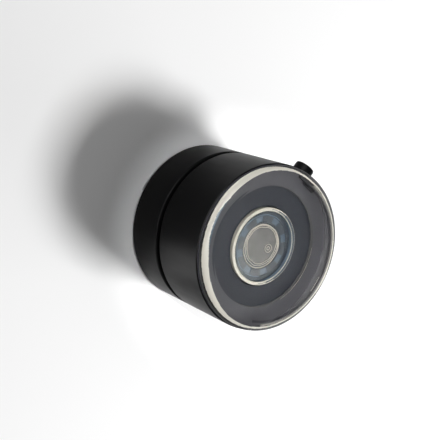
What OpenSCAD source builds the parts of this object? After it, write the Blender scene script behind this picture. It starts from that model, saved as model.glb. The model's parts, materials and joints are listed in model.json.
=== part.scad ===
// Magnetic suction-cup holder: a black two-section puck. The rear section holds a
// magnet ring, the front section a clear dished suction pad. A quarter turn of the
// front section draws the middle of the pad back, and a side button lets the air in.
// Millimetres. +Z runs along the axis, from the magnetic face at z = 0 to the pad.

/* [Case] */
// Diameter of the case at the magnetic face
case_d = 57.2; // [57.2:0.2:60]
// Diameter of the case at its front edge
front_d = 59.8; // [59.8:0.2:62]
// Height of the rear section
rear_h = 15.8; // [15.8:0.2:20]
// Width of the groove between the two sections
groove_h = 2.2; // [1.6:0.1:3]
// Height of the front section
front_h = 23.3; // [23.3:0.1:28]
// Chamfer of the case's turned edges
edge_chamfer = 0.4; // [0.2:0.1:0.8]
// Outer wall of the rear section
rear_wall = 1.9; // [1.4:0.1:1.9]
// Outer wall of the front section, at its rear end
front_wall = 2.6; // [2.2:0.1:2.8]

/* [Magnet end] */
// Thickness of the soft face over the magnets
face_t = 0.8; // [0.5:0.1:1.2]
// Width of the case's rim round the soft face
face_rim = 1.9; // [1.7:0.1:2.4]
// Magnets in the ring
magnet_count = 16; // [12:2:18]
// Outer diameter of the magnet ring
magnet_od = 53.4; // [50:0.2:53.4]
// Inner diameter of the magnet ring
magnet_id = 45.4; // [42:0.2:46]
// Thickness of the magnets
magnet_t = 2.4; // [1.6:0.1:2.8]
// Thickness of the steel ring behind the magnets
shield_t = 0.8; // [0.5:0.1:1]
// Floor of the rear section above the steel ring
rear_floor_t = 1.8; // [1.2:0.1:2.2]

/* [Bearing and cam] */
// Thickness of the plate that closes the rear section
plate_t = 2.4; // [2:0.1:3]
// Outer radius of the bearing collar
collar_r = 20; // [19:0.1:20.4]
// Wall of the bearing collar
collar_wall = 2.8; // [2.4:0.1:3.2]
// Floor of the front section, which turns on the collar
front_floor_t = 2.6; // [2.4:0.1:3.2]
// Thickness of the ring that holds the front section on the collar
keeper_t = 1.4; // [1:0.1:2]
// Quarter turn of the front section, in degrees
turn_deg = 90; // [60:5:100]
// Distance that the quarter turn draws the stem back
draw = 1.8; // [1:0.1:1.9]
// Radius of the stem
stem_r = 4; // [3.6:0.1:4.4]
// Wall of the cam sleeve
cam_wall = 2.7; // [2.2:0.1:3]
// Height of the cam sleeve below its flange
cam_depth = 7.4; // [7:0.1:8]
// Radius of the pin that rides in the cam slots
cam_pin_r = 1.2; // [1:0.05:1.3]
// Radius of the pin that stops the turn
stop_pin_r = 1.25; // [1:0.05:1.4]

/* [Suction pad] */
// Step in from the case's front edge to the pad's rounded rim
pad_inset = 0.3; // [0.2:0.05:0.7]
// Height of the pad's lip above the case
pad_proud = 4; // [3.6:0.1:4.6]
// Depth of the dish in the pad
dish_depth = 3.6; // [2:0.1:3.8]
// Width of the flat lip round the dish
lip_w = 1.9; // [1.4:0.1:2.4]
// Height of the pad's rounded rim
rim_h = 4.7; // [4.5:0.1:5]
// Depth of the recess for the pad, from the case's front edge to the gray ring
pad_sink = 3.9; // [3.7:0.1:4]
// Width of the gray ring that carries the pad
carrier_w = 6.5; // [6.3:0.1:7]
// Height of the ring that carries the pad
carrier_t = 0.6; // [0.5:0.1:0.8]
// Thickness of the seat plate
seat_t = 2; // [1.8:0.1:2.4]

/* [Hub] */
// Radius of the clear hub over its pale ring
hub_r = 14.2; // [13.6:0.1:14.6]
// Thickness of the clear hub
hub_t = 2.4; // [2.2:0.1:2.8]
// Width of the pale ring round the hub
seal_w = 1.3; // [1.1:0.1:1.6]
// Height of the pale ring above the seat plate
hub_proud = 2; // [1.9:0.1:2.4]
// Windows in the hub
window_count = 8; // [6:1:10]
// Radius of the cap in the middle of the hub
cap_r = 8.4; // [8:0.1:8.8]
// Thickness of the stem's flange
flange_t = 1.2; // [1:0.1:1.6]
// Thickness of the plate that guides the stem
guide_t = 2.8; // [2.2:0.1:3.4]

/* [Release button] */
// Direction of the button round the axis, in degrees
button_deg = 52; // [46:1:58]
// Diameter of the button
button_d = 7.2; // [6.4:0.1:7.4]
// Height that the button stands out of the case
button_proud = 3.8; // [2.4:0.1:4.4]
// Travel of the button
button_travel = 1.5; // [0.8:0.1:1.6]
// Radius of the button's neck
neck_r = 1.4; // [1.3:0.05:1.5]
// Radius of the valve plunger
plunger_r = 0.6; // [0.5:0.05:0.7]
// Wire of the button spring
spring_wire = 0.3; // [0.25:0.05:0.35]
// Turns of the button spring
spring_turns = 4; // [3:0.5:4.5]

/* [Hidden] */
$fn = 128;

// Named clearances
slip = 0.1;          // sliding and turning fits, on the radius
seat_gap = 0.2;      // a piece dropped into its place, on the radius
face_gap = 0.1;      // between flat faces that slide on each other
soft_gap = 0.3;      // between the pad and what moves behind it
bond = 0.05;         // glue line or pressed pin
eps = 0.02;          // overcut of a drilled or cut face

// Case radii along the axis
case_r = case_d / 2;
front_r = front_d / 2;
barrel_z0 = rear_h + groove_h;
barrel_z1 = barrel_z0 + front_h;
function skin_r(z) = case_r + (front_r - case_r) * z / barrel_z1;

// Magnet end, from the face up
rim_z = 0.2;
foot_round = 0.8;
face_r = case_r - face_rim;
magnet_z = face_t;
shield_z = magnet_z + magnet_t + bond;
pocket_top = shield_z + shield_t + bond;
pocket_clear = 0.25;
magnet_gap_deg = 2.4;
cavity_z = pocket_top + rear_floor_t;
cavity_r = case_r - rear_wall - pocket_clear;

// Rear closing plate and bearing
plate_z = rear_h - plate_t;
plate_r = case_r - rear_wall + pocket_clear;
plate_ledge_r = plate_r + slip;
floor_top = barrel_z0 + front_floor_t;
keeper_z = floor_top + face_gap;
collar_in_r = collar_r - collar_wall;
keeper_r = collar_r + 2.4;
keeper_in_r = collar_in_r + 0.2;
washer_in_r = collar_r + 0.3;
washer_r = skin_r(barrel_z0) - 2.2;
washer_t = groove_h - face_gap;
bore_r = collar_r + slip;

// Screws: shank radius, head radius, head height
plate_screw = [1, 1.9, 1.2];
keeper_screw = [0.7, 1.2, 0.8];
cam_screw = [0.8, 1.5, 1];
seat_screw = [0.8, 1.5, 1];
guide_screw = [0.6, 0.9, 0.7];
hex_share = 0.5;
boss_wall = 1.8;
plate_screw_r = cavity_r - plate_screw[0] - boss_wall - 0.4;
plate_screw_n = 3;
plate_screw_deg = 60;
plate_screw_len = 7;
keeper_screw_r = collar_r - collar_wall / 2;
keeper_screw_n = 4;
keeper_screw_len = 3.6;

// Cam sleeve, hung under its flange in the middle of the closing plate
cam_in_r = stem_r + soft_gap;
cam_r = cam_in_r + cam_wall;
cam_flange_r = cam_r + 4.4;
cam_flange_t = 2;
cam_top = rear_h + cam_flange_t;
cam_bottom = rear_h - cam_depth;
cam_pin_z = rear_h - 2.6;
cam_pin_len = 2 * (cam_r - 0.5);
cam_steps = 9;
cam_screw_r = cam_r + 2.3;
cam_screw_n = 3;
cam_screw_len = 3.6;
stem_tip = 2.6;

// Stop pin, blind slot in the floor of the front section
stop_top = barrel_z0 + front_floor_t - 1;
stop_deg = 0;

// Front section
barrel_in_r = skin_r(barrel_z0) - front_wall;
stop_pitch_r = (collar_r + barrel_in_r) / 2;
recess_wall = 0.5;
recess_r = skin_r(barrel_z1) - edge_chamfer - recess_wall;
carrier_top = barrel_z1 - pad_sink;
carrier_r = recess_r - seat_gap;
seat_top = carrier_top - carrier_t;
seat_bottom = seat_top - seat_t;
seat_r = barrel_in_r - seat_gap;
well_r = carrier_r - carrier_w;
boss_top = seat_bottom - 2;
seat_screw_r = barrel_in_r - 2.5;
seat_screw_n = 4;
seat_screw_deg = button_deg - 45;
seat_screw_len = 10.6;
boss_r = seat_screw[0] + boss_wall;

// Pad
pad_r = front_r - pad_inset;
lip_z = barrel_z1 + pad_proud;
rim_r = rim_h / 2;
rim_c = [pad_r - rim_r, lip_z - rim_r];
dish_r = rim_c[0] - lip_w;
dish_ball = (dish_r * dish_r + dish_depth * dish_depth) / (2 * dish_depth);

// Hub, cap and stem, which the cam draws down together
well_hole_r = hub_r + 0.6;
seal_top = seat_top + hub_proud;
seal_in_r = hub_r - seal_w;
pad_back = seal_top + soft_gap;
hub_top = seat_top + 0.2;
hub_bottom = hub_top - hub_t;
seal_bottom = hub_top - 0.8;
bead_groove = [seal_in_r - 1.1, 0.15];
window_in_r = cap_r + 0.5;
window_out_r = seal_in_r - 1.7;
window_deg = 13;
window_first = 11;
window_depth = 1.2;
cap_top = hub_top + 0.1;
cap_ring_w = 0.5;
cap_ring_gap = 0.5;
cap_dish = 0.3;
port_r = 0.4;
port_ring_r = 1.1;
port_at = [3.3, -1.6];
flange_z = hub_bottom - flange_t;
flange_r = hub_r - 1.6;
tower_wall = 2.2;
tower_r = well_hole_r + tower_wall;
tower_bottom = flange_z - draw - 1;
guide_z = tower_bottom - guide_t;
guide_r = tower_r - 0.3;
guide_screw_r = well_hole_r + tower_wall / 2;
guide_screw_n = 3;
guide_screw_len = guide_t + 1.5;
key_half = stem_r - 0.7;
key_z0 = guide_z - 3;

// Button and valve, on a radial axis
valve_skin = 0.8;
neck_bore_r = neck_r + slip;
button_z = seat_top - valve_skin - neck_bore_r;
button_r = button_d / 2;
button_out = skin_r(button_z) + button_proud;
head_in = skin_r(button_z) - 0.35;
head_bore_floor = head_in - button_travel - 0.2;
land_r = head_bore_floor - 0.5;
land_w = 2 * (button_r + slip + 0.6);
land_top = button_z + button_r + slip + 0.4;
neck_in = seat_r - 0.8;
valve_wall_out = tower_r + 4.4;
valve_wall_in = valve_wall_out - 1.6;
seal_r = 0.3;
clip_t = 0.4;
clip_w = 0.6;
plunger_in = valve_wall_in - 2 * seal_r - clip_t - 0.5;
vent_r = plunger_r + 0.4;
valve_room_r = plunger_r + 2 * seal_r + bond + seat_gap;
spring_r = neck_bore_r - spring_wire / 2 - 0.15;
spring_len = neck_in - valve_wall_out;

CASE_BLACK = "#1c1c1d";
STEEL = "#a9acb0";
CLEAR = "#b9bcb8";

// ---- helpers ----

// Copies children round the axis
module ring_of(count, radius, first = 0)
    for (i = [0 : count - 1])
        rotate([0, 0, first + i * 360 / count]) translate([radius, 0, 0]) children();

// Turns children so that their +Z points out along the button's axis
module on_button_axis(r)
    rotate([0, 0, button_deg]) translate([r, 0, button_z]) rotate([0, 90, 0]) children();

module ring(r_out, r_in, z0, z1)
    translate([0, 0, z0]) difference() {
        cylinder(r = r_out, h = z1 - z0);
        translate([0, 0, -1]) cylinder(r = r_in, h = z1 - z0 + 2);
    }

// Flat-head screw with its head's top at z = 0 and its shank downwards
module screw(s, length) {
    difference() {
        union() {
            translate([0, 0, -s[2]]) cylinder(r = s[1], h = s[2]);
            translate([0, 0, -length]) cylinder(r = s[0], h = length - s[2] / 2);
        }
        translate([0, 0, -s[2] * hex_share]) cylinder(r = s[1] * 0.55, h = s[2], $fn = 6);
    }
}

// Hole for that screw, open above its head
module screw_hole(s, length) {
    translate([0, 0, -s[2] - bond]) cylinder(r = s[1] + slip, h = s[2] + 1);
    translate([0, 0, -length - 0.2]) cylinder(r = s[0] + bond, h = length + 0.2);
}

// Cone frustum that follows the case's taper, with chamfered ends
module case_skin(z0, z1, c0, c1) {
    rotate_extrude() polygon([
        [0, z0], [skin_r(z0) - c0, z0], [skin_r(z0 + c0), z0 + c0],
        [skin_r(z1 - c1), z1 - c1], [skin_r(z1) - c1, z1], [0, z1]
    ]);
}

// ---- rear section ----

module face_pad() color("#3a3b3d")
    difference() {
        cylinder(r = face_r - bond, h = face_t);
        translate([0, 0, -eps]) ring(face_r - 1.6, face_r - 2, -eps, 0.2);
    }

module base_shell() color(CASE_BLACK)
    difference() {
        case_skin(rim_z, rear_h, foot_round, edge_chamfer);
        translate([0, 0, -1]) cylinder(r = face_r, h = face_t + 1);
        ring((magnet_od / 2) + pocket_clear, (magnet_id / 2) - pocket_clear, 0, pocket_top);
        difference() {
            translate([0, 0, cavity_z]) cylinder(r = cavity_r, h = rear_h);
            ring_of(plate_screw_n, plate_screw_r, plate_screw_deg)
                cylinder(r = plate_screw[0] + boss_wall, h = plate_z);
        }
        translate([0, 0, plate_z]) cylinder(r = plate_ledge_r, h = plate_t + 1);
        ring_of(plate_screw_n, plate_screw_r, plate_screw_deg)
            translate([0, 0, rear_h - plate_screw_len - 0.2])
                cylinder(r = plate_screw[0] + bond, h = plate_screw_len);
    }

module magnet_ring() color(STEEL) {
    pitch = 360 / magnet_count;
    for (i = [0 : magnet_count - 1])
        rotate([0, 0, i * pitch + magnet_gap_deg / 2])
            translate([0, 0, magnet_z + bond])
                rotate_extrude(angle = pitch - magnet_gap_deg)
                    translate([magnet_id / 2, 0])
                        square([(magnet_od - magnet_id) / 2, magnet_t - bond]);
}

module shield_ring() color("#8b8e92")
    ring(magnet_od / 2, magnet_id / 2, shield_z, shield_z + shield_t);

module base_plate() color("#26262a")
    difference() {
        union() {
            translate([0, 0, plate_z + bond]) cylinder(r = plate_r, h = plate_t - bond);
            translate([0, 0, plate_z + bond]) cylinder(r = collar_r, h = keeper_z - plate_z - bond);
        }
        translate([0, 0, rear_h]) cylinder(r = collar_in_r, h = keeper_z);
        translate([0, 0, plate_z - 1]) cylinder(r = cam_r + slip, h = plate_t + 2);
        ring_of(plate_screw_n, plate_screw_r, plate_screw_deg)
            translate([0, 0, rear_h]) screw_hole(plate_screw, plate_screw_len);
        ring_of(keeper_screw_n, keeper_screw_r)
            translate([0, 0, keeper_z - keeper_screw_len])
                cylinder(r = keeper_screw[0] + bond, h = keeper_screw_len + 1);
        ring_of(cam_screw_n, cam_screw_r)
            translate([0, 0, plate_z - 1]) cylinder(r = cam_screw[0] + bond, h = plate_t + 2);
        rotate([0, 0, stop_deg]) translate([stop_pitch_r, 0, plate_z - 1])
            cylinder(r = stop_pin_r + bond, h = plate_t + 2);
    }

module base_plate_screws() color(STEEL)
    ring_of(plate_screw_n, plate_screw_r, plate_screw_deg)
        translate([0, 0, rear_h - bond]) screw(plate_screw, plate_screw_len - bond);

module friction_washer() color("#2d2d2f")
    difference() {
        ring(washer_r, washer_in_r, rear_h, rear_h + washer_t);
        rotate([0, 0, stop_deg]) translate([stop_pitch_r, 0, rear_h - 1])
            cylinder(r = stop_pin_r + slip, h = washer_t + 2);
    }

module stop_pin() color(STEEL)
    rotate([0, 0, stop_deg]) translate([stop_pitch_r, 0, plate_z + bond])
        cylinder(r = stop_pin_r, h = stop_top - plate_z - bond);

module keeper_ring() color(STEEL)
    difference() {
        ring(keeper_r, keeper_in_r, keeper_z, keeper_z + keeper_t);
        ring_of(keeper_screw_n, keeper_screw_r)
            translate([0, 0, keeper_z + keeper_t]) screw_hole(keeper_screw, keeper_t + 1);
    }

module keeper_screws() color("#7d8085")
    ring_of(keeper_screw_n, keeper_screw_r)
        translate([0, 0, keeper_z + keeper_t]) screw(keeper_screw, keeper_screw_len + keeper_t - 0.4);

// Sleeve with two helical slots. The cam pin rides down them as the front section
// turns, so a quarter turn draws the stem back by the value of draw.
module cam_sleeve() color("#c9a45a")
    difference() {
        union() {
            translate([0, 0, cam_bottom]) cylinder(r = cam_r, h = cam_top - cam_bottom, $fn = 72);
            translate([0, 0, rear_h]) cylinder(r = cam_flange_r, h = cam_flange_t, $fn = 72);
        }
        translate([0, 0, cam_bottom - 1])
            cylinder(r = cam_in_r, h = cam_top - cam_bottom + 2, $fn = 72);
        ring_of(cam_screw_n, cam_screw_r) translate([0, 0, cam_top])
            screw_hole(cam_screw, cam_flange_t + 1, $fn = 32);
        for (side = [0, 180], i = [0 : cam_steps - 1])
            hull() {
                cam_slot_cut(side, i / cam_steps);
                cam_slot_cut(side, (i + 1) / cam_steps);
            }
    }

// One radial cut of the slot, at a share of the turn
module cam_slot_cut(side, share)
    rotate([0, 0, side + turn_deg * share])
        translate([cam_in_r - 1, 0, cam_pin_z - draw * share])
            rotate([0, 90, 0]) cylinder(r = cam_pin_r + slip, h = cam_wall + 2, $fn = 24);

module cam_sleeve_screws() color(STEEL)
    ring_of(cam_screw_n, cam_screw_r) translate([0, 0, cam_top]) screw(cam_screw, cam_screw_len);

// ---- front section ----

module barrel_shell() color(CASE_BLACK)
    difference() {
        union() {
            difference() {
                case_skin(barrel_z0, barrel_z1, edge_chamfer, edge_chamfer);
                translate([0, 0, floor_top]) cylinder(r = barrel_in_r, h = front_h);
            }
            intersection() {
                case_skin(barrel_z0, boss_top, edge_chamfer, 0);
                ring_of(seat_screw_n, seat_screw_r, seat_screw_deg) {
                    translate([0, 0, barrel_z0]) cylinder(r = boss_r, h = boss_top - barrel_z0);
                    translate([0, -boss_wall / 2, barrel_z0])
                        cube([barrel_in_r, boss_wall, boss_top - barrel_z0]);
                }
            }
        }
        translate([0, 0, barrel_z0 - 1]) cylinder(r = bore_r, h = front_floor_t + 2);
        translate([0, 0, floor_top]) cylinder(r = keeper_r + seat_gap, h = keeper_t + 2 * slip + face_gap);
        difference() {
            translate([0, 0, seat_top]) cylinder(r = recess_r, h = barrel_z1);
            button_land(0);
        }
        ring_of(seat_screw_n, seat_screw_r, seat_screw_deg)
            translate([0, 0, seat_top - seat_screw_len - 0.2])
                cylinder(r = seat_screw[0] + bond, h = seat_screw_len);
        stop_slot();
        on_button_axis(head_bore_floor) cylinder(r = button_r + slip, h = button_out);
        on_button_axis(seat_r - 2) cylinder(r = neck_bore_r, h = button_out);
    }

// Solid land that the front section keeps behind the button, in the pad's recess
module button_land(gap)
    rotate([0, 0, button_deg]) translate([land_r - gap, -land_w / 2 - gap, seat_top - 1])
        cube([front_r, land_w + 2 * gap, land_top + gap - seat_top + 1]);

// Blind arc slot that lets the stop pin pass through the turn
module stop_slot() {
    r = stop_pin_r + slip;
    z0 = barrel_z0 - 1;
    h = stop_top + slip - z0;
    for (a = [stop_deg, stop_deg - turn_deg])
        rotate([0, 0, a]) translate([stop_pitch_r, 0, z0]) cylinder(r = r, h = h);
    rotate([0, 0, stop_deg - turn_deg]) translate([0, 0, z0])
        rotate_extrude(angle = turn_deg) translate([stop_pitch_r - r, 0]) square([2 * r, h]);
}

module seat_plate() color("#222327")
    difference() {
        union() {
            translate([0, 0, seat_bottom]) cylinder(r = seat_r, h = seat_t);
            translate([0, 0, tower_bottom]) cylinder(r = tower_r, h = seat_bottom - tower_bottom + eps);
            intersection() {
                union() {
                    ring_of(seat_screw_n, seat_screw_r, seat_screw_deg)
                        translate([0, 0, boss_top]) cylinder(r = boss_r, h = seat_bottom - boss_top + eps);
                    ring_of(seat_screw_n, tower_r - 1, seat_screw_deg)
                        translate([0, -boss_wall / 2, boss_top])
                            cube([seat_screw_r - tower_r, boss_wall, seat_bottom - boss_top + eps]);
                    on_button_axis(valve_wall_in)
                        cylinder(r = neck_bore_r + valve_skin, h = seat_r - valve_wall_in + 1);
                }
                translate([0, 0, tower_bottom]) cylinder(r = seat_r, h = seat_top - tower_bottom);
            }
        }
        translate([0, 0, tower_bottom - 1]) cylinder(r = well_hole_r, h = seat_top - tower_bottom + 2);
        ring_of(seat_screw_n, seat_screw_r, seat_screw_deg)
            translate([0, 0, seat_top]) screw_hole(seat_screw, seat_screw_len);
        on_button_axis(valve_wall_out) cylinder(r = neck_bore_r, h = seat_r);
        on_button_axis(well_hole_r - 1) cylinder(r = vent_r, h = valve_wall_out);
        on_button_axis(tower_r - slip) cylinder(r = valve_room_r, h = valve_wall_in - tower_r + slip);
        ring_of(guide_screw_n, guide_screw_r, button_deg + 60)
            translate([0, 0, tower_bottom - 1])
                cylinder(r = guide_screw[0] + bond, h = guide_screw_len - guide_t + 1.4);
    }

module seat_screws() color(STEEL)
    ring_of(seat_screw_n, seat_screw_r, seat_screw_deg)
        translate([0, 0, seat_top - bond]) screw(seat_screw, seat_screw_len - bond);

module pad_carrier() color("#5b5c60")
    difference() {
        ring(carrier_r, well_r, seat_top, carrier_top);
        button_land(seat_gap);
    }

// Clear pad: thick disc with a rounded rim, a flat lip and a shallow ball-shaped dish.
// Behind its middle is the well, which leaves it room to be drawn back with the hub.
module suction_pad() color(CLEAR)
    difference() {
        pad_disc();
        button_land(seat_gap);
    }

module pad_disc()
    rotate_extrude() difference() {
        union() {
            translate([0, carrier_top]) square([rim_c[0], lip_z - carrier_top]);
            translate([0, carrier_top]) square([carrier_r, rim_c[1] - carrier_top]);
            translate(rim_c) circle(r = rim_r, $fn = 96);
        }
        translate([seal_in_r - soft_gap, carrier_top - 1])
            square([well_r - seal_in_r + soft_gap, pad_back - carrier_top + 1]);
        translate([0, lip_z - dish_depth + dish_ball]) intersection() {
            circle(r = dish_ball, $fn = 720);
            translate([0, -dish_ball - 1]) square([dish_r + 1, dish_ball]);
        }
    }

module stem_guide() color("#303136")
    difference() {
        translate([0, 0, guide_z]) cylinder(r = guide_r, h = guide_t);
        translate([0, 0, guide_z - 1]) intersection() {
            cylinder(r = stem_r + slip, h = guide_t + 2);
            translate([-key_half - slip, -stem_r - 1, 0])
                cube([2 * (key_half + slip), 2 * stem_r + 2, guide_t + 2]);
        }
        ring_of(guide_screw_n, guide_screw_r, button_deg + 60)
            translate([0, 0, guide_z]) mirror([0, 0, 1]) screw_hole(guide_screw, guide_t + 1);
    }

module guide_screws() color(STEEL)
    ring_of(guide_screw_n, guide_screw_r, button_deg + 60)
        translate([0, 0, guide_z]) mirror([0, 0, 1]) screw(guide_screw, guide_screw_len);

// Centre line and surface of the coil spring
function coil_at(t, a) = let (turn = 360 * spring_turns * t, r = spring_r + spring_wire / 2 * cos(a))
    [r * cos(turn), r * sin(turn),
     spring_wire / 2 * (1 + sin(a)) + (spring_len - spring_wire) * t];

module button_spring() color(STEEL) {
    sides = 8;
    rings = 16 * spring_turns;
    points = [for (i = [0 : rings], j = [0 : sides - 1]) coil_at(i / rings, 360 * j / sides)];
    skin = [for (i = [0 : rings - 1], j = [0 : sides - 1])
        [i * sides + j, (i + 1) * sides + j, (i + 1) * sides + (j + 1) % sides, i * sides + (j + 1) % sides]];
    start = [for (j = [0 : sides - 1]) j];
    end = [for (j = [sides - 1 : -1 : 0]) rings * sides + j];
    on_button_axis(valve_wall_out) polyhedron(points, concat([start, end], skin), convexity = 6);
}

// ---- stem, hub and cap: drawn back by the cam ----

module draw_stem() color(STEEL)
    difference() {
        union() {
            translate([0, 0, cam_pin_z - stem_tip])
                cylinder(r = stem_r, h = flange_z - cam_pin_z + stem_tip + eps);
            translate([0, 0, flange_z]) cylinder(r = flange_r, h = flange_t);
        }
        for (side = [0, 180]) rotate([0, 0, side])
            translate([key_half, -stem_r - 1, key_z0])
                cube([stem_r, 2 * stem_r + 2, flange_z - key_z0]);
        translate([0, 0, cam_pin_z]) rotate([0, 90, 0])
            cylinder(r = cam_pin_r + bond, h = 2 * stem_r + 2, center = true);
    }

module cam_pin() color("#7d8085")
    translate([0, 0, cam_pin_z]) rotate([0, 90, 0]) cylinder(r = cam_pin_r, h = cam_pin_len, center = true);

module clear_hub() color("#a8b4ba")
    difference() {
        union() {
            ring(hub_r, cap_r + slip, hub_bottom, seal_bottom);
            ring(seal_in_r - bond, cap_r + slip, hub_bottom, hub_top);
        }
        translate([0, 0, hub_top - bead_groove[1]])
            ring(bead_groove[0] + bead_groove[1], bead_groove[0] - bead_groove[1], 0, 1);
        for (i = [0 : window_count - 1])
            rotate([0, 0, window_first - window_deg / 2 + i * 360 / window_count])
                translate([0, 0, hub_top - window_depth])
                    rotate_extrude(angle = window_deg) translate([window_in_r, 0])
                        square([window_out_r - window_in_r, window_depth + 1]);
    }

// Cap with two raised rims and a small port with its own rim
module hub_cap() color("#8e9092")
    difference() {
        translate([0, 0, hub_bottom]) cylinder(r = cap_r, h = cap_top - hub_bottom);
        translate([0, 0, cap_top - cap_dish])
            ring(cap_r - cap_ring_w, cap_r - cap_ring_w - cap_ring_gap, 0, 1);
        translate([0, 0, cap_top - cap_dish]) difference() {
            cylinder(r = cap_r - 2 * cap_ring_w - cap_ring_gap, h = 1);
            translate([port_at[0], port_at[1], -1]) cylinder(r = port_ring_r, h = 3);
        }
        translate([port_at[0], port_at[1], hub_bottom - 1]) cylinder(r = port_r, h = hub_t + 2);
    }

// Pale ring with a round top, which stands round the hub's face
module hub_seal() color("#dcd8c6")
    translate([0, 0, seal_bottom + bond]) rotate_extrude() {
        translate([seal_in_r, 0]) square([seal_w, seal_top - seal_bottom - bond - seal_w / 2]);
        intersection() {
            translate([hub_r - seal_w / 2, seal_top - seal_bottom - bond - seal_w / 2])
                circle(r = seal_w / 2, $fn = 48);
            translate([seal_in_r, 0]) square([seal_w, seal_top]);
        }
    }

// ---- release button ----

module release_button() color(CASE_BLACK)
    difference() {
        union() {
            on_button_axis(head_in) cylinder(r = button_r, h = button_out - head_in - edge_chamfer);
            on_button_axis(button_out - edge_chamfer)
                cylinder(r1 = button_r, r2 = button_r - edge_chamfer, h = edge_chamfer);
            on_button_axis(neck_in) cylinder(r = neck_r, h = head_in - neck_in + eps);
        }
        on_button_axis(neck_in - 1) cylinder(r = plunger_r + bond, h = 4);
    }

module valve_plunger() color(STEEL)
    on_button_axis(plunger_in) cylinder(r = plunger_r, h = neck_in + 3 - bond - plunger_in);

module valve_seal() color("#303030")
    on_button_axis(valve_wall_in - seal_r - bond) rotate_extrude()
        translate([plunger_r + seal_r + bond, 0]) circle(r = seal_r, $fn = 32);

module plunger_clip() color("#7d8085")
    on_button_axis(valve_wall_in - 2 * seal_r - clip_t - 2 * bond) difference() {
        cylinder(r = plunger_r + clip_w, h = clip_t);
        translate([0, 0, -1]) cylinder(r = plunger_r + bond, h = clip_t + 2);
    }

face_pad();
base_shell();
magnet_ring();
shield_ring();
base_plate();
base_plate_screws();
friction_washer();
stop_pin();
keeper_ring();
keeper_screws();
cam_sleeve();
cam_sleeve_screws();
barrel_shell();
seat_plate();
seat_screws();
pad_carrier();
suction_pad();
stem_guide();
guide_screws();
button_spring();
draw_stem();
cam_pin();
clear_hub();
hub_cap();
hub_seal();
release_button();
valve_plunger();
valve_seal();
plunger_clip();
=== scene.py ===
# Magnetic suction-cup holder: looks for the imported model
import bpy, math, json
from mathutils import Vector, Matrix
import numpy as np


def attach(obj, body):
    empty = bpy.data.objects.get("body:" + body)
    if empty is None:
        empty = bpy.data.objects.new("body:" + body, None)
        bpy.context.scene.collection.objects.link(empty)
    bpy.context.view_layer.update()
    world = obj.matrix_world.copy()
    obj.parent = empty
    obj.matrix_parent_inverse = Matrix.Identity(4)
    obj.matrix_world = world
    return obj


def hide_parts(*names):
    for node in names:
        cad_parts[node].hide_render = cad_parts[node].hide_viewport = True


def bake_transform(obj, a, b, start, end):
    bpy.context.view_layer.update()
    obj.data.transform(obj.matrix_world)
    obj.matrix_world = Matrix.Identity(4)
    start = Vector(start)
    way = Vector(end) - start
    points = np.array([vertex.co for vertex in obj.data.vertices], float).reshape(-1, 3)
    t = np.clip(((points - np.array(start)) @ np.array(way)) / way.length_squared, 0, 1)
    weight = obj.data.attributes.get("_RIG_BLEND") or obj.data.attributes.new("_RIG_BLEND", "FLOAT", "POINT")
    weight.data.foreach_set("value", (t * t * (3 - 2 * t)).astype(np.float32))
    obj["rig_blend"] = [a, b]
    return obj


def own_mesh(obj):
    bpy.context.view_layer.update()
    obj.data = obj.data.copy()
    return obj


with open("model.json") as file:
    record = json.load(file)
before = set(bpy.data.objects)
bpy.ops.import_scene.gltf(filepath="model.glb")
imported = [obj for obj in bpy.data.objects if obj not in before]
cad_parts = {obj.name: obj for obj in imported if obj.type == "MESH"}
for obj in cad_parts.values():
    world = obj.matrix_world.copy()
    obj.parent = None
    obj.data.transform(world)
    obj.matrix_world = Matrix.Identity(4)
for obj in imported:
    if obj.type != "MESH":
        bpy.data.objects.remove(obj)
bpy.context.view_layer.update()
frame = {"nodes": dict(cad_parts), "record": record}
print("frame loaded:", len(frame["nodes"]), "nodes")


def mm(value):
    return value / 1000.0


# sRGB hex to linear, the one place where colours are turned
def hexColour(code):
    values = [int(code[i:i + 2], 16) / 255.0 for i in (1, 3, 5)]
    return [v / 12.92 if v <= 0.04045 else ((v + 0.055) / 1.055) ** 2.4 for v in values] + [1.0]


# noise scale for a pattern whose spots are this many mm across
def perMm(size):
    return 1000.0 / size


def newMaterial(name, **sockets):
    mat = bpy.data.materials.new(name)
    mat.use_nodes = True
    skin = mat.node_tree.nodes["Principled BSDF"]
    for key, value in sockets.items():
        skin.inputs[key.replace("_", " ")].default_value = value
    return mat, skin


# adds one node, sets it up and links sockets of other nodes to its inputs
def addNode(mat, kind, settings=None, values=None, links=None):
    node = mat.node_tree.nodes.new(kind)
    for key, value in (settings or {}).items():
        setattr(node, key, value)
    for key, value in (values or {}).items():
        node.inputs[key].default_value = value
    for key, source in (links or {}).items():
        mat.node_tree.links.new(source, node.inputs[key])
    return node


absSetup = {
    "colour": "#080809",
    "specular": 0.07,
    "grain": 0.15,            # mm; spark erosion is near 0.03 mm, drawn coarser so that it shows
    "relief": 0.03,           # mm
    "marks": 12,              # mm across the faint marks of handling
    "gloss": (0.36, 0.46),    # roughness, lowest and highest
}


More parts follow.
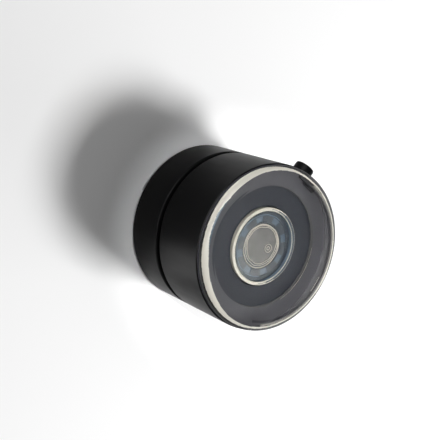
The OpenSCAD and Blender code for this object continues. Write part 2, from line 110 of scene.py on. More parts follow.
# moulded ABS from a spark-eroded tool: near black, with one broad soft highlight
def satinBlackAbs(setup):
    mat, skin = newMaterial("satin_black_abs", Base_Color=hexColour(setup["colour"]),
                            Specular_IOR_Level=setup["specular"])
    place = addNode(mat, "ShaderNodeTexCoord").outputs["Object"]
    grain = addNode(mat, "ShaderNodeTexNoise",
                    values={"Scale": perMm(setup["grain"]), "Detail": 2.0}, links={"Vector": place})
    marks = addNode(mat, "ShaderNodeTexNoise",
                    values={"Scale": perMm(setup["marks"]), "Detail": 3.0}, links={"Vector": place})
    low, high = setup["gloss"]
    sheen = addNode(mat, "ShaderNodeMapRange", values={"To Min": low, "To Max": high},
                    links={"Value": marks.outputs["Fac"]})
    bump = addNode(mat, "ShaderNodeBump",
                   values={"Strength": 0.08, "Distance": mm(setup["relief"])},
                   links={"Height": grain.outputs["Fac"]})
    mat.node_tree.links.new(sheen.outputs["Result"], skin.inputs["Roughness"])
    mat.node_tree.links.new(bump.outputs["Normal"], skin.inputs["Normal"])
    return mat


evenSetup = {
    "wander": 0.05,           # how far the roughness goes up and down
    "relief": 0.01,           # mm
}


# plastic, rubber or plated metal with an even colour, whose gloss wanders a little;
# grain is in mm, and shade is how dark the colour gets in its darkest spots
def evenFinish(name, colour, roughness, metallic=0.0, grain=0.5, specular=0.5, shade=0.85):
    mat, skin = newMaterial(name, Metallic=metallic, Specular_IOR_Level=specular)
    place = addNode(mat, "ShaderNodeTexCoord").outputs["Object"]
    spots = addNode(mat, "ShaderNodeTexNoise", values={"Scale": perMm(grain), "Detail": 3.0},
                    links={"Vector": place})
    wander = evenSetup["wander"]
    gloss = addNode(mat, "ShaderNodeMapRange",
                    values={"To Min": roughness - wander, "To Max": roughness + wander},
                    links={"Value": spots.outputs["Fac"]})
    full = hexColour(colour)
    tone = addNode(mat, "ShaderNodeMix", {"data_type": "RGBA"},
                   {6: full, 7: [shade * c for c in full[:3]] + [1.0]}, {0: spots.outputs["Fac"]})
    bump = addNode(mat, "ShaderNodeBump",
                   values={"Strength": 0.1, "Distance": mm(evenSetup["relief"])},
                   links={"Height": spots.outputs["Fac"]})
    mat.node_tree.links.new(tone.outputs[2], skin.inputs["Base Color"])
    mat.node_tree.links.new(gloss.outputs["Result"], skin.inputs["Roughness"])
    mat.node_tree.links.new(bump.outputs["Normal"], skin.inputs["Normal"])
    return mat


# makes the shader the one that shows
def setSurface(mat, shader):
    mat.node_tree.links.new(shader, mat.node_tree.nodes["Material Output"].inputs["Surface"])


# lets the lamps through a clear moulding to what lies behind it
def openToLamps(mat, shader, tint):
    path = addNode(mat, "ShaderNodeLightPath")
    clear = addNode(mat, "ShaderNodeBsdfTransparent", values={"Color": hexColour(tint)})
    both = addNode(mat, "ShaderNodeMixShader", links={0: path.outputs["Is Shadow Ray"],
                                                      1: shader, 2: clear.outputs["BSDF"]})
    setSurface(mat, both.outputs["Shader"])


tpuSetup = {
    "ior": 1.3,               # TPU has near 1.5; less keeps the thick rim clear
    "milky": "#d2cfc4",
    "roughness": 0.25,        # of the milky skin
    "passed": 0.35,           # share of the light that the milky skin passes on
    "thin": (26.2, 27.3),     # radius in mm where the far lip's painted highlight has gone, and where it is thickest
    "thinMost": 0.35,         # how much of it is left there
}


# TPU from a polished mould: clear and glossy
def clearMoulding(name, colour):
    mat, skin = newMaterial(name, Base_Color=hexColour(colour), Roughness=0.0, IOR=tpuSetup["ior"],
                            Transmission_Weight=1.0, Specular_IOR_Level=0.8)
    openToLamps(mat, skin.outputs["BSDF"], "#fafafa")
    return mat


# a milky skin of TPU, which takes light from both sides and passes part of it on; on the near rim its
# brightness also stands for light carried round inside the clear rim, and on the far rim it is a painted
# highlight line
def skinAndHighlight(setup):
    mat, skin = newMaterial("milky_skin_and_painted_highlight", Base_Color=hexColour(setup["milky"]),
                            Roughness=setup["roughness"])
    through = addNode(mat, "ShaderNodeBsdfTranslucent", values={"Color": hexColour(setup["milky"])})
    both = addNode(mat, "ShaderNodeMixShader", values={0: setup["passed"]},
                   links={1: skin.outputs["BSDF"], 2: through.outputs["BSDF"]})
    openToLamps(mat, both.outputs["Shader"], "#c8c4b4")
    return mat


# painted highlight on the far lip: the same skin fading out toward the axis, with the clear TPU showing
# under it
def fadingHighlight(setup):
    mat, skin = newMaterial("painted_fading_highlight_tpu", Base_Color=hexColour(setup["milky"]),
                            Roughness=setup["roughness"])
    clear = addNode(mat, "ShaderNodeBsdfRefraction",
                    values={"Color": hexColour("#ffffff"), "Roughness": 0.0, "IOR": setup["ior"]})
    place = addNode(mat, "ShaderNodeTexCoord").outputs["Object"]
    flat = addNode(mat, "ShaderNodeVectorMath", {"operation": "MULTIPLY"}, {1: (1, 1, 0)},
                   {0: place})
    away = addNode(mat, "ShaderNodeVectorMath", {"operation": "LENGTH"},
                   links={0: flat.outputs["Vector"]})
    first, last = setup["thin"]
    share = addNode(mat, "ShaderNodeMapRange",
                    values={"From Min": mm(first), "From Max": mm(last), "To Min": 0.0,
                            "To Max": setup["thinMost"]},
                    links={"Value": away.outputs["Value"]})
    both = addNode(mat, "ShaderNodeMixShader",
                   links={0: share.outputs["Result"], 1: clear.outputs["BSDF"],
                          2: skin.outputs["BSDF"]})
    openToLamps(mat, both.outputs["Shader"], "#e6e4da")
    return mat


# back of the pad, bonded to the ring behind it, so that no air gap reflects
def bondedBack():
    mat = newMaterial("bonded_tpu_back")[0]
    clear = addNode(mat, "ShaderNodeBsdfTransparent", values={"Color": hexColour("#fafaf6")})
    setSurface(mat, clear.outputs["BSDF"])
    return mat


clearTpu = clearMoulding("clear_tpu", "#ffffff")
# painted shade line: a smoky tint for the inner edge of the far lip
shadeLineTpu = clearMoulding("painted_shade_line_tpu", "#a0a0a4")
skinAndHighlightTpu = skinAndHighlight(tpuSetup)
fadingHighlightTpu = fadingHighlight(tpuSetup)
bondedTpu = bondedBack()
# painted shade: where the far rim turns away from the light it is painted a flat dark gray
paintedShadeTpu = evenFinish("painted_shade_tpu", "#48484a", 0.5, specular=0.1)
# painted reflection at the end of the skin, streaked from bluish to dark
reflectionEdgeTpu = evenFinish("painted_reflection_tpu_edge", "#56636d", 0.2, grain=1.0, shade=0.3)
# moulded rings of TPU: glossy and cream-coloured; the pale one is also painted on edges of the pad as glints
creamTpu = evenFinish("cream_tpu", "#a8a49e", 0.32, grain=1.5)
paleRimAndGlintTpu = evenFinish("pale_rim_and_painted_glint_tpu", "#b7b1ab", 0.3, grain=1.5)
# clear polycarbonate over a dark well: smoky and bluish, lighter where it is thin
ringTop = evenFinish("clear_ring_top", "#38424e", 0.25, grain=2.0, specular=0.3)
# painted light: a lighter bluish put on the ring's inner wall, which the lamps leave in shade, and on the
# near side of the disc's raised line
paintedLightEdge = evenFinish("painted_light_ring_edge", "#606f80", 0.2, grain=2.0)
windowPlastic = evenFinish("thin_clear_plastic", "#4a5664", 0.25, grain=2.0, specular=0.3)
# by the record's slots: moulded plastics are satin, clear ones glossy and plated metals bright
finishes = {
    "case_black": satinBlackAbs(absSetup),
    "inner_black": evenFinish("inner_black_abs", "#272a32", 0.5, specular=0.15),
    "carrier_gray": evenFinish("gray_carrier_abs", "#4a4a51", 0.5, specular=0.15),
    "washer_black": evenFinish("black_pom", "#0f0f10", 0.5, specular=0.2),
    "face_silicone": evenFinish("dark_silicone", "#2a2b2d", 0.6),
    "clear_pad": clearTpu,
    "clear_hub": evenFinish("smoky_clear_plastic", "#2b333d", 0.3, grain=2.0, specular=0.3),
    "cap_gray": evenFinish("gray_cap", "#626264", 0.3, grain=6.0, specular=0.3, shade=0.05),
    "seal_cream": creamTpu,
    "nickel_magnet": evenFinish("nickel_plate", "#b9b8b4", 0.2, 1.0),
    "zinc_steel": evenFinish("zinc_plate", "#a7a9ab", 0.35, 1.0),
    "spring_steel": evenFinish("spring_wire", "#8d8f92", 0.25, 1.0),
    "stem_metal": evenFinish("turned_steel", "#a5a7aa", 0.28, 1.0),
    "brass": evenFinish("turned_brass", "#c6a75c", 0.3, 1.0),
}
slotOf = {part["node"]: part["material_slot"] for part in frame["record"]["subparts"]}
for name, piece in frame["nodes"].items():
    piece.data.materials.clear()
    piece.data.materials.append(finishes[slotOf[name]])
print("materials done")


def deselectAll():
    if bpy.context.object and bpy.context.object.mode != "OBJECT":
        bpy.ops.object.mode_set(mode="OBJECT")
    bpy.ops.object.select_all(action="DESELECT")


def makeActive(piece):
    bpy.context.view_layer.objects.active = piece
    piece.select_set(True)


def smoothBelow(degrees):
    bpy.ops.object.shade_smooth_by_angle(angle=math.radians(degrees))


# a copy of a CAD piece with its loose triangles joined up
def mergedCopy(node, name):
    deselectAll()
    piece = bpy.data.objects.new(name, frame["nodes"][node].data.copy())
    bpy.context.scene.collection.objects.link(piece)
    makeActive(piece)
    bpy.ops.object.mode_set(mode="EDIT")
    bpy.ops.mesh.select_all(action="SELECT")
    bpy.ops.mesh.remove_doubles(threshold=mm(0.001))
    bpy.ops.mesh.dissolve_limited(angle_limit=math.radians(0.5))
    bpy.ops.object.mode_set(mode="OBJECT")
    return piece


caseSetup = {
    # round of the edges, mm
    "edges": {"base_shell": 0.35, "barrel_shell": 0.3, "release_button": 0.3},
    "segments": 3,
    "sharp": 30,              # edges that turn by more degrees than this are rounded
    "smooth": 35,
    "recess": (28.95, 36.9),  # the pad's recess in the front case: radius, and height of its bottom
}


# a copy of a CAD piece whose sharp edges are rounded over, as they leave a mould
def roundedCopy(node, name, body, setup):
    piece = mergedCopy(node, name)
    bevel = piece.modifiers.new("edges", "BEVEL")
    bevel.width = mm(setup["edges"][node])
    bevel.segments = setup["segments"]
    bevel.limit_method = "ANGLE"
    bevel.angle_limit = math.radians(setup["sharp"])
    bpy.ops.object.modifier_apply(modifier=bevel.name)
    smoothBelow(setup["smooth"])
    weigh = piece.modifiers.new("normals", "WEIGHTED_NORMAL")
    weigh.weight = 100
    weigh.keep_sharp = True
    bpy.ops.object.modifier_apply(modifier=weigh.name)
    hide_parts(node)
    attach(piece, body)
    return piece


roundedCopy("base_shell", "rear_case", "base", caseSetup)
frontCase = roundedCopy("barrel_shell", "front_case", "barrel", caseSetup)
roundedCopy("release_button", "button_cap", "button", caseSetup)

# degrees round to the button, and how far it goes in
springSetup = {"turn": 52, "press": 1.5, "smooth": 60}


# the coil under the button, a merged copy that goes with the barrel
def pressSpring(setup):
    piece = mergedCopy("button_spring", "press_spring")
    smoothBelow(setup["smooth"])
    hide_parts("button_spring")
    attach(piece, "barrel")
    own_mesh(piece)
    return piece


pressSpring(springSetup)
print("case pieces done")


# points of an arc in the outline plane, radius and height in mm, angles in degrees
def arc(centreR, centreZ, radius, first, last, count):
    turns = [math.radians(first + (last - first) * i / count) for i in range(count + 1)]
    return [(centreR + radius * math.cos(a), centreZ + radius * math.sin(a)) for a in turns]


# raised rim of a round shape in an outline, with points every 30 degrees
def bead(r, half, height, face):
    return [(r + half * math.cos(math.radians(a)), face + height * math.sin(math.radians(a)))
            for a in range(180, -1, -30)]


# draws an outline of (radius, height) points in mm and spins it round the axis
def spinOutline(name, outline, steps, closed=False):
    deselectAll()
    bpy.ops.mesh.primitive_plane_add(size=mm(1), location=(mm(outline[0][0]), 0, mm(outline[0][1])))
    piece = bpy.context.object
    piece.name = name
    bpy.ops.object.transform_apply(location=True, rotation=True, scale=True)
    bpy.ops.object.mode_set(mode="EDIT")
    bpy.ops.mesh.select_all(action="SELECT")
    bpy.ops.mesh.merge(type="CENTER")
    for (r0, z0), (r1, z1) in zip(outline, outline[1:]):
        move = (mm(r1 - r0), 0, mm(z1 - z0))
        bpy.ops.mesh.extrude_region_move(TRANSFORM_OT_translate={"value": move})
    bpy.ops.mesh.select_all(action="SELECT")
    if closed:
        bpy.ops.mesh.remove_doubles(threshold=mm(0.001))
    bpy.ops.mesh.spin(steps=steps, angle=math.radians(360), center=(0, 0, 0), axis=(0, 0, 1),
                      use_auto_merge=True)
    bpy.ops.mesh.select_all(action="SELECT")
    bpy.ops.mesh.remove_doubles(threshold=mm(0.002))
    bpy.ops.mesh.normals_make_consistent(inside=False)
    bpy.ops.object.mode_set(mode="OBJECT")
    smoothBelow(35)
    return piece


# gives the faces that pass the test the next material slot
def paintFaces(piece, material, test):
    piece.data.materials.append(material)
    number = len(piece.data.materials) - 1
    for face in piece.data.polygons:
        if test(face.center, face.normal):
            face.material_index = number


def fromAxis(at):
    return math.hypot(at.x, at.y)


def degreesRound(at):
    return math.degrees(math.atan2(at.y, at.x))


slack = 0.05   # mm by which faces are picked wide of where they lie

# sizes in mm, turns in degrees
padSetup = {
    "around": 192,            # steps of the spin
    "lip": 45.3,              # height of the lip's flat
    "lipRows": (26.2, 26.5, 26.9),   # radii of the edges on the flat; the skin ends at the first
    "rimCentre": (27.25, 42.95),
    "rim": 2.35,              # radius of the rounded rim
    "rimRows": 44,
    "dishEdge": 25.35,
    "dishDepth": 3.6,
    "dishRows": 48,
    "edgeRound": 0.35,        # round of the edge between lip and dish
    "side": 28.8,             # radius of the part that stands in the case
    "foot": (22.3, 37.45),
    "back": 39.1,             # back of the middle, over the well
    "backRows": 12,
    "plug": (12.6, 37.4),     # the middle that is bonded to the hub
    "follow": 14.5,           # radius inside which all of the pad follows the hub
    # room for the land behind the button: degrees round, then radius, half width and top
    "landTurn": 52,
    "land": (26.94, 4.5, 38.8),
    # milky skin, painted widest on the near side, where it also stands for light carried round the clear
    # rim,
    # and a thin painted highlight line on the side opposite. Its ends are lines that bend at these points:
    # degrees round the pad, degrees up the round of the rim
    "nearSide": 160,
    "skinLow": [(0, 79), (32, 80), (60, 72), (90, 30), (105, -2), (120, -12), (135, -10),
                (180, 14), (285, 78), (318, 78), (332, 66), (346, 78), (360, 79)],
    "skinHigh": [(0, 90), (32, 90), (60, 86), (75, 73), (105, 58), (135, 60), (180, 77), (210, 85),
                 (235, 77), (257, 79), (285, 90), (360, 90)],
    # beside the near side the skin stops short of its upper end, and the gap holds a bluish painted
    # reflection
    "reflectionBand": [(0, 0), (136, 0), (150, 23), (165, 16), (180, 0), (360, 0)],
    # all of these count degrees from the near side
    "thinAway": 105,          # the painted highlight of the skin fades over the lip past here
    "shadeLineAway": 95,          # and the lip's inner edge has a smoky painted shade line past here
    "shadeLineIn": 0.2,           # how far that reaches into the dish
    # painted shade, dark gray under the skin on the far rim: where it starts, how far it goes down the rim,
    # and how much farther for each degree short of the last number
    "shade": (98, 60, 3, 130),
    # painted shadow of the case's lip, a dark foot under the skin: where it ends, where it starts to
    # fade above and below the middle, and how fast
    "paintedShadowFoot": (140, 112, 88, 4),
    # painted glints on edges: their middle, how far down the wall of the well and how far to each side,
    # then how far to each side inside the lip and how far down
    "glintAway": 165,
    "wellGlint": [(0.34, 15), (0.17, 30)],
    "lipGlint": (6, 0.1),
}


# height of a line of straight stretches at a place along it
def heightAt(points, place):
    for (start, low), (end, high) in zip(points, points[1:]):
        if start <= place <= end:
            return low + (high - low) * (place - start) / (end - start)


# the pad's outline from the middle of the dish round to the middle of its back,
# with the radii of the round between dish and lip
def padOutline(setup):
    edge, depth, lip = setup["dishEdge"], setup["dishDepth"], setup["lip"]
    ball = (edge ** 2 + depth ** 2) / (2 * depth)
    # the round between the dish and the lip touches both
    fillet = setup["edgeRound"]
    filletR = math.sqrt((ball + fillet) ** 2 - (ball - depth + fillet) ** 2)
    lean = math.degrees(math.asin(filletR / (ball + fillet)))
    dishEnd = filletR * ball / (ball + fillet)
    outline = []
    for i in range(setup["dishRows"] + 1):
        r = dishEnd * i / setup["dishRows"]
        outline.append((r, lip - depth + ball - math.sqrt(ball ** 2 - r ** 2)))
    outline += arc(filletR, lip - fillet, fillet, 90 + lean, 90, 6)[1:]
    outline += [(r, lip) for r in setup["lipRows"]]
    rimR, rimZ = setup["rimCentre"]
    side = setup["side"]
    lowest = -math.degrees(math.acos((side - rimR) / setup["rim"]))
    outline += arc(rimR, rimZ, setup["rim"], 90, lowest, setup["rimRows"])
    footIn, footZ = setup["foot"]
    outline += [(side, setup["land"][2] + 0.1), (side, footZ), (footIn, footZ)]
    outline += [(footIn, setup["back"] - down) for down, half in setup["wellGlint"]]
    outline += [(footIn, setup["back"])]
    plugR, plugZ = setup["plug"]
    rows = setup["backRows"]
    outline += [(footIn + (plugR - footIn) * i / rows, setup["back"]) for i in range(1, rows + 1)]
    outline += [(plugR, plugZ), (0, plugZ)]
    return outline, dishEnd, filletR


def clearPad(setup):
    outline, dishEnd, filletR = padOutline(setup)
    pad = spinOutline("clear_pad", outline, setup["around"])
    pad.data.materials.append(clearTpu)
    cutLand(pad, setup)
    lip, back, side = setup["lip"], setup["back"], setup["side"]
    rimR, rimZ = setup["rimCentre"]
    footIn = setup["foot"][0]
    landIn, landHalf, landTop = setup["land"]
    skinEnd = setup["lipRows"][0]

    # how a face stands to the skin: degrees from the near side, above its lower end,
    # above its upper end and above the end of its bluish painted reflection
    def fromSkin(at):
        around = degreesRound(at) % 360
        away = abs((around - setup["nearSide"] + 180) % 360 - 180)
        up = math.degrees(math.atan2(at.z - mm(rimZ), fromAxis(at) - mm(rimR)))
        low, edgeEnd = heightAt(setup["skinLow"], around), heightAt(setup["skinHigh"], around)
        high = edgeEnd - heightAt(setup["reflectionBand"], around)
        return away, up - low, up - high, up - edgeEnd

    def onRim(at):
        return fromAxis(at) > mm(rimR) and at.z > mm(landTop)

    # the milky skin, and on the far rim the thin painted highlight line along its top
    def inBandAndHighlight(at, n):
        away, low, high, edgeEnd = fromSkin(at)
        return onRim(at) and low > 0 and high < 0

    # painted shade: a flat dark gray band under the skin on the far rim
    def inPaintedShade(at, n):
        away, low, high, edgeEnd = fromSkin(at)
        first, deep, more, full = setup["shade"]
        return away > first and onRim(at) and -deep - more * max(0, full - away) < low < 0

    # painted highlight: the skin fading over the far lip
    def inFadingHighlight(at, n):
        away = fromSkin(at)[0]
        return away > setup["thinAway"] and mm(skinEnd) < fromAxis(at) <= mm(rimR) and n.z > 0.99

    # painted shade: a smoky dark line at the inner edge of the far lip
    def inLipShadeLine(at, n):
        away = fromSkin(at)[0]
        start = mm(setup["dishEdge"] - setup["shadeLineIn"])
        return away > setup["shadeLineAway"] and start < fromAxis(at) <= mm(skinEnd) and n.z > 0.3

    # a thin bluish painted reflection where the skin ends, on the near side
    def inPaintedReflection(at, n):
        away, low, high, edgeEnd = fromSkin(at)
        return onRim(at) and high >= 0 and edgeEnd < 0

    # painted shadow: the rim under the near skin is painted black where the case's lip shades it
    def inPaintedShadow(at, n):
        away, low, high, edgeEnd = fromSkin(at)
        last, fadeUp, fadeDown, fast = setup["paintedShadowFoot"]
        fade = fast * max(0, away - (fadeUp if at.y > 0 else fadeDown))
        return away < last and onRim(at) and low < -fade and fromAxis(at) > mm(side + slack)

    def inBond(at, n):
        turn = math.radians(setup["landTurn"])
        along = at.x * math.cos(turn) + at.y * math.sin(turn)
        across = abs(at.y * math.cos(turn) - at.x * math.sin(turn))
        onLand = along > mm(landIn - slack) and across < mm(landHalf + slack)
        if onLand and at.z < mm(landTop + slack):
            return True
        return at.z < mm(back + 0.1) and fromAxis(at) < mm(side - slack)

    # painted glints: the top of the wall round the well and the round inside the lip are painted pale where
    # they would catch the light
    def inPaintedGlint(at, n):
        across = abs((degreesRound(at) - setup["nearSide"]) % 360 - setup["glintAway"])
        (low, narrow), (high, wide) = setup["wellGlint"]
        if abs(fromAxis(at) - mm(footIn)) < mm(0.03) and mm(back - low) < at.z < mm(back):
            return across < (wide if at.z > mm(back - high) else narrow)
        half, down = setup["lipGlint"]
        return across < half and mm(dishEnd) < fromAxis(at) < mm(filletR) and at.z > mm(lip - down)

    paintFaces(pad, skinAndHighlightTpu, inBandAndHighlight)
    paintFaces(pad, paintedShadeTpu, inPaintedShade)
    paintFaces(pad, fadingHighlightTpu, inFadingHighlight)
    paintFaces(pad, shadeLineTpu, inLipShadeLine)
    paintFaces(pad, reflectionEdgeTpu, inPaintedReflection)
    paintFaces(pad, finishes["washer_black"], inPaintedShadow)
    paintFaces(pad, bondedTpu, inBond)
    paintFaces(pad, paleRimAndGlintTpu, inPaintedGlint)
    plugZ = setup["plug"][1]
    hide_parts("suction_pad")
    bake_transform(pad, "barrel", "stem", start=(0, 0, mm(lip)), end=(0, 0, mm(plugZ)))
    # the middle follows the hub: all of it at the pale ring, none of it at the edge of the well
    follow = pad.data.attributes["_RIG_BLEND"]
    for vertex, value in zip(pad.data.vertices, follow.data):
        share = (footIn - fromAxis(vertex.co) * 1000) / (footIn - setup["follow"])
        share = min(max(share, 0.0), 1.0)
        value.value = share * share * (3 - 2 * share)
    return pad


# cuts the room for the land behind the button out of the pad's foot
def cutLand(pad, setup):
    landIn, landHalf, landTop = setup["land"]
    turn = math.radians(setup["landTurn"])
    size = 10   # mm, more than the land needs
    middle = mm(landIn + size / 2)
    deselectAll()
    bpy.ops.mesh.primitive_cube_add(
        size=1, location=(middle * math.cos(turn), middle * math.sin(turn), mm(landTop - size / 2)),
        rotation=(0, 0, turn), scale=(mm(size), mm(2 * landHalf), mm(size)))
    block = bpy.context.object
    cut = pad.modifiers.new("land", "BOOLEAN")
    cut.operation = "DIFFERENCE"
    cut.object = block
    deselectAll()
    bpy.context.view_layer.objects.active = pad
    bpy.ops.object.modifier_apply(modifier=cut.name)
    bpy.data.objects.remove(block)


# the bottom of the pad's recess, with the land behind the button, is painted gray like the ring rather than
# the case's black, so that the land and its shaded walls do not show dark through the pad
def inRecess(at, n):
    recessR, recessZ = caseSetup["recess"]
    return fromAxis(at) < mm(recessR) and at.z > mm(recessZ)


clearPad(padSetup)
paintFaces(frontCase, finishes["carrier_gray"], inRecess)
print("clear pad done")

# sizes in mm, turns in degrees
hubSetup = {
    "around": 144,            # steps of the spin
    "ring": (12.9, 14.2, 36.25, 38.8),   # the pale ring's inner and outer radius, foot and top
    "ringRound": 0.22,
    # where the ring has stayed clear between its edges: middle, half its length, half its width
    "clearTurn": -8, "clearHalf": 88, "clearWide": 0.38,
    "disc": (8.5, 12.85, 14.2),          # inner radius, radius of the face, outer radius
    "levels": (34.6, 36.2, 37.0),        # bottom, ledge and face
    "chamfer": 0.1,
    "windows": (8.9, 10.9), "windowDeep": 0.12,
    "windowAt": 11.25, "windowEvery": 45, "windowWide": 17.5,
    "bead": (11.35, 0.16),               # radius and height of the thin raised line
    "beadTurn": 160, "beadPast": 4,      # painted light on this side, and this far past the middle
}


def paleRing(setup):
    inner, out, foot, top = setup["ring"]
    small = setup["ringRound"]
    outline = [(inner, foot)] + arc(inner + small, top - small, small, 180, 90, 5)
    outline += [(inner + small + (out - inner - 2 * small) * i / 5, top) for i in range(1, 5)]
    outline += arc(out - small, top - small, small, 90, 0, 5) + [(out, foot), (inner, foot)]
    ring = spinOutline("pale_ring", outline, setup["around"], closed=True)
    ring.data.materials.append(creamTpu)

    # the clear part lies between the edges and narrows to nothing at its ends
    def inClear(at, n):
        reach = 1 - abs(degreesRound(at) - setup["clearTurn"]) / setup["clearHalf"]
        away = abs(fromAxis(at) * 1000 - (inner + out) / 2)
        return n.z > 0.97 and reach > 0 and away < min(setup["clearWide"], reach)

    # painted light: the inner wall is made lighter than the ring against the shade it gets
    def onInnerWall(at, n):
        return fromAxis(at) < mm(inner + 0.1) and n.z < 0.1

    paintFaces(ring, ringTop, inClear)
    paintFaces(ring, paintedLightEdge, onInnerWall)
    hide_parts("hub_seal")
    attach(ring, "stem")
    return ring


def hubDisc(setup):
    inner, face, out = setup["disc"]
    bottom, ledge, top = setup["levels"]
    windowIn, windowOut = setup["windows"]
    beadR, beadH = setup["bead"]
    chamfer, deep = setup["chamfer"], setup["windowDeep"]
    outline = [(inner, bottom), (inner, top), (windowIn, top), (windowOut, top)]
    outline += bead(beadR, beadH, beadH, top)
    outline += [(face - chamfer, top), (face, top - chamfer), (face, ledge), (out, ledge)]
    outline += [(out, bottom), (inner, bottom)]
    disc = spinOutline("hub_disc", outline, setup["around"], closed=True)
    deselectAll()
    makeActive(disc)
    # the windows are sunk in the face
    middle = mm((windowIn + windowOut) / 2)
    every = setup["windowEvery"]
    for spot in disc.data.polygons:
        turn = (degreesRound(spot.center) - setup["windowAt"] + every / 2) % every
        inside = abs(turn - every / 2) < setup["windowWide"] / 2
        onBand = abs(fromAxis(spot.center) - middle) < mm(0.5)
        spot.select = inside and onBand and spot.normal.z > 0.9
    for edge in disc.data.edges:
        edge.select = False
    for vertex in disc.data.vertices:
        vertex.select = False
    bpy.ops.object.mode_set(mode="EDIT")
    bpy.context.tool_settings.mesh_select_mode = (False, False, True)
    bpy.ops.mesh.extrude_region_move(TRANSFORM_OT_translate={"value": (0, 0, -mm(deep))})
    bpy.ops.object.mode_set(mode="OBJECT")
    bpy.context.tool_settings.mesh_select_mode = (True, False, False)
    nearSide = math.radians(setup["beadTurn"])

    def inWindow(at, n):
        return n.z > 0.9 and mm(ledge + slack) < at.z < mm(top - deep + slack)

    # painted highlight: the raised line is lighter on the near side only
    def onBead(at, n):
        onLine = abs(fromAxis(at) - mm(beadR)) < mm(beadH) and at.z > mm(top + 0.03)
        return onLine and at.x * math.cos(nearSide) + at.y * math.sin(nearSide) > -mm(setup["beadPast"])

    disc.data.materials.append(finishes["clear_hub"])
    paintFaces(disc, windowPlastic, inWindow)
    paintFaces(disc, paintedLightEdge, onBead)
    smoothBelow(35)
    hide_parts("clear_hub")
    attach(disc, "stem")
    return disc


# sizes in mm
capSetup = {
    "around": 144, "portAround": 36,     # steps of the spins
    "radius": 8.4, "bottom": 34.6, "face": 36.85,
    "plain": (5.0, 2.5),                 # radii of edges on the plain face
    "clearFrom": 6.6,                    # the face is clear outside this radius
    # raised rims: radius, half width, height, size of the waves, middle off the axis
    "rims": [
        (7.95, 0.2, 0.4, 0.16, (-0.12, -0.2)),
        (7.35, 0.12, 0.3, 0.2, (0.05, 0.1)),
        (6.75, 0.15, 0.36, 0.24, (0.1, 0.2)),
    ],
    "rise": 0.08,                        # how far the rims go up and down
    "port": (3.4, -1.3), "portRims": [(0.62, 0.09, 0.14), (1.5, 0.1, 0.2)],
}


# the rims of the cap were formed by hand-cut tooling and wander a little
def waveRims(cap, setup):
    face = setup["face"]
    for vertex in cap.data.vertices:
        r, turn = fromAxis(vertex.co), math.atan2(vertex.co.y, vertex.co.x)
        for rimR, half, height, wave, off in setup["rims"]:
            if abs(r - mm(rimR)) < mm(half) * 1.05 and vertex.co.z > mm(face - 0.01):
                shape = math.sin(3 * turn + rimR) + 0.6 * math.sin(7 * turn + 2 * rimR)
                shift = wave * (shape + 0.4 * math.sin(12 * turn)) / 2
                shift += off[0] * math.cos(turn) + off[1] * math.sin(turn)
                shift = min(shift, setup["radius"] - half - rimR)
                vertex.co.x += mm(shift) * math.cos(turn)
                vertex.co.y += mm(shift) * math.sin(turn)
                lift = mm(setup["rise"]) * math.sin(5 * turn + rimR)
                vertex.co.z += lift * (vertex.co.z - mm(face)) / mm(height)


# a small round port with two raised rims, off the middle of the cap
def capPort(setup):
    face = setup["face"]
    foot = face + 0.02
    (small, smallHalf, smallHigh), (wide, wideHalf, wideHigh) = setup["portRims"]
    outline = [(0, face - 0.3), (small - 0.2, face - 0.3)] + bead(small, smallHalf, smallHigh, foot)
    outline += bead(wide, wideHalf, wideHigh, foot) + [(wide + 0.15, face - 0.1), (0, face - 0.4)]
    port = spinOutline("port", outline, setup["portAround"])
    port.data.materials.append(finishes["cap_gray"])
    paintFaces(port, paleRimAndGlintTpu, lambda at, n: at.z > mm(face + slack))
    deselectAll()
    makeActive(port)
    portX, portY = setup["port"]
    port.location = (mm(portX), mm(portY), 0)
    bpy.ops.object.transform_apply(location=True, rotation=False, scale=False)


def hubCap(setup):
    face = setup["face"]
    outline = [(0, setup["bottom"]), (setup["radius"], setup["bottom"]), (setup["radius"], face)]
    for r, half, height, wave, off in setup["rims"]:
        outline += bead(r, half, height, face)[::-1]
    outline += [(r, face) for r in setup["plain"]] + [(0, face)]
    cap = spinOutline("hub_cap_face", outline, setup["around"])
    waveRims(cap, setup)

    def inClear(at, n):
        return mm(face - slack) < at.z < mm(face + slack) and fromAxis(at) > mm(setup["clearFrom"])

    cap.data.materials.append(finishes["cap_gray"])
    paintFaces(cap, paleRimAndGlintTpu, lambda at, n: at.z > mm(face + slack))
    paintFaces(cap, finishes["clear_hub"], inClear)
    capPort(setup)
    makeActive(cap)
    bpy.ops.object.join()
    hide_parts("hub_cap")
    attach(cap, "stem")
    return cap


paleRing(hubSetup)
hubDisc(hubSetup)
hubCap(capSetup)
print("hub done")

deselectAll()
bpy.ops.mesh.primitive_plane_add(size=6.0, location=(0, 0, -0.0005))
floor = bpy.context.object
floor.name = "floor"
floorMat = newMaterial("pale_floor", Base_Color=hexColour("#f6f6f6"), Roughness=0.9,
                       Specular_IOR_Level=0.1)[0]
floor.data.materials.append(floorMat)

cameraSetup = {
    "place": (-0.3406, 0.1301, 0.4509),
    "aim": (-0.01237, 0.00816, 0.0300),
    "roll": 4.6,
    "lens": 128.75,
}


def lookAt(thing, place, aim, upHint, roll=0.0):
    back = (Vector(place) - Vector(aim)).normalized()
    right = Vector(upHint).cross(back).normalized()
    up = back.cross(right)
    turn = Matrix.Rotation(math.radians(roll), 3, back)
    basis = turn @ Matrix((right, up, back)).transposed()
    thing.matrix_world = Matrix.Translation(Vector(place)) @ basis.to_4x4()


camData = bpy.data.cameras.new("camera")
camData.lens = cameraSetup["lens"]
camData.sensor_width = 36.0
camData.clip_start = 0.01
camera = bpy.data.objects.new("camera", camData)
bpy.context.collection.objects.link(camera)
lookAt(camera, cameraSetup["place"], cameraSetup["aim"], (0, 1, 0), cameraSetup["roll"])
bpy.context.scene.camera = camera

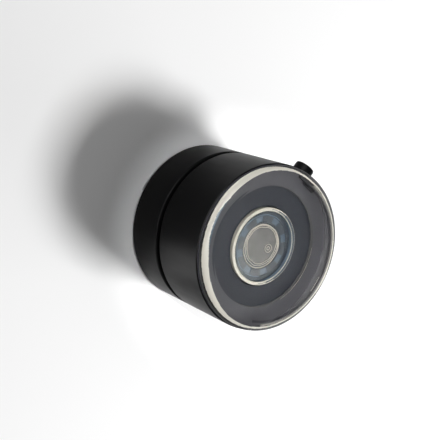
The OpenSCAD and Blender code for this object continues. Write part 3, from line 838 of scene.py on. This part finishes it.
studioSetup = {
    "fill": 0.25,             # how strongly the pale room lights the object
    "aim": (0, 0, 0.04),      # what the lamps point at
    # name, compass degrees, degrees up, distance in metres, size, level on a white card
    "softBoxes": [
        ("key", -32, 50, 0.9, (0.25, 0.25), 1.05),
        ("rimLamp", -30, 8, 0.8, (0.5, 0.15), 0.5),
    ],
    # flags keep the soft boxes out of these, where the case's wall would shade the gray ring
    "flagged": ("pad_carrier", "seat_plate", "pale_ring", "hub_disc", "hub_cap_face", "front_case"),
    # bright cards that only show in gloss: the same, with their own brightness
    "cards": [
        ("sideGlow", -156, -33, 0.06, (0.026, 0.022), 2.6),
        ("edgeCard", 150, 45, 1.0, (1.5, 0.5), 9.0),
    ],
    # a narrow lamp on the pad: compass degrees, degrees up, distance, beam in degrees, watts
    "padLamp": (150, 62, 1.0, 4.1, 43.0),
}
world = bpy.data.worlds.new("studio")
bpy.context.scene.world = world
world.use_nodes = True
background = world.node_tree.nodes["Background"]
background.inputs["Color"].default_value = hexColour("#ffffff")
background.inputs["Strength"].default_value = studioSetup["fill"]


def newLamp(name, kind, compass, height, distance):
    data = bpy.data.lights.new(name, kind)
    lamp = bpy.data.objects.new(name, data)
    bpy.context.collection.objects.link(lamp)
    across, up = math.radians(compass), math.radians(height)
    level = math.cos(up)
    direction = Vector((math.cos(across) * level, math.sin(across) * level, math.sin(up)))
    aim = studioSetup["aim"]
    lookAt(lamp, direction * distance + Vector(aim), aim, (0, 0, 1))
    return lamp, data


for name, compass, height, distance, size, level in studioSetup["softBoxes"]:
    lamp, data = newLamp(name, "AREA", compass, height, distance)
    data.shape = "RECTANGLE"
    data.size, data.size_y = size
    data.energy = level * math.pi ** 2 * distance ** 2
    lamp.visible_glossy = False
    flags = bpy.data.collections.new(name + "Flags")
    for thing in studioSetup["flagged"]:
        flags.objects.link(bpy.data.objects[thing])
    lamp.light_linking.receiver_collection = flags
    for child in flags.collection_objects:
        child.light_linking.link_state = "EXCLUDE"
for name, compass, height, distance, size, brightness in studioSetup["cards"]:
    lamp, data = newLamp(name, "AREA", compass, height, distance)
    data.shape = "RECTANGLE"
    data.size, data.size_y = size
    data.energy = brightness * math.pi * size[0] * size[1]
    lamp.visible_diffuse = False
    lamp.visible_transmission = False
    lamp.visible_camera = False
compass, height, distance, beam, watts = studioSetup["padLamp"]
lamp, data = newLamp("padLamp", "SPOT", compass, height, distance)
data.spot_size = math.radians(beam)
data.spot_blend = 0.15
data.shadow_soft_size = 0.02
data.energy = watts
lamp.visible_glossy = False
bpy.context.scene.view_settings.view_transform = "Standard"
print("stage done")
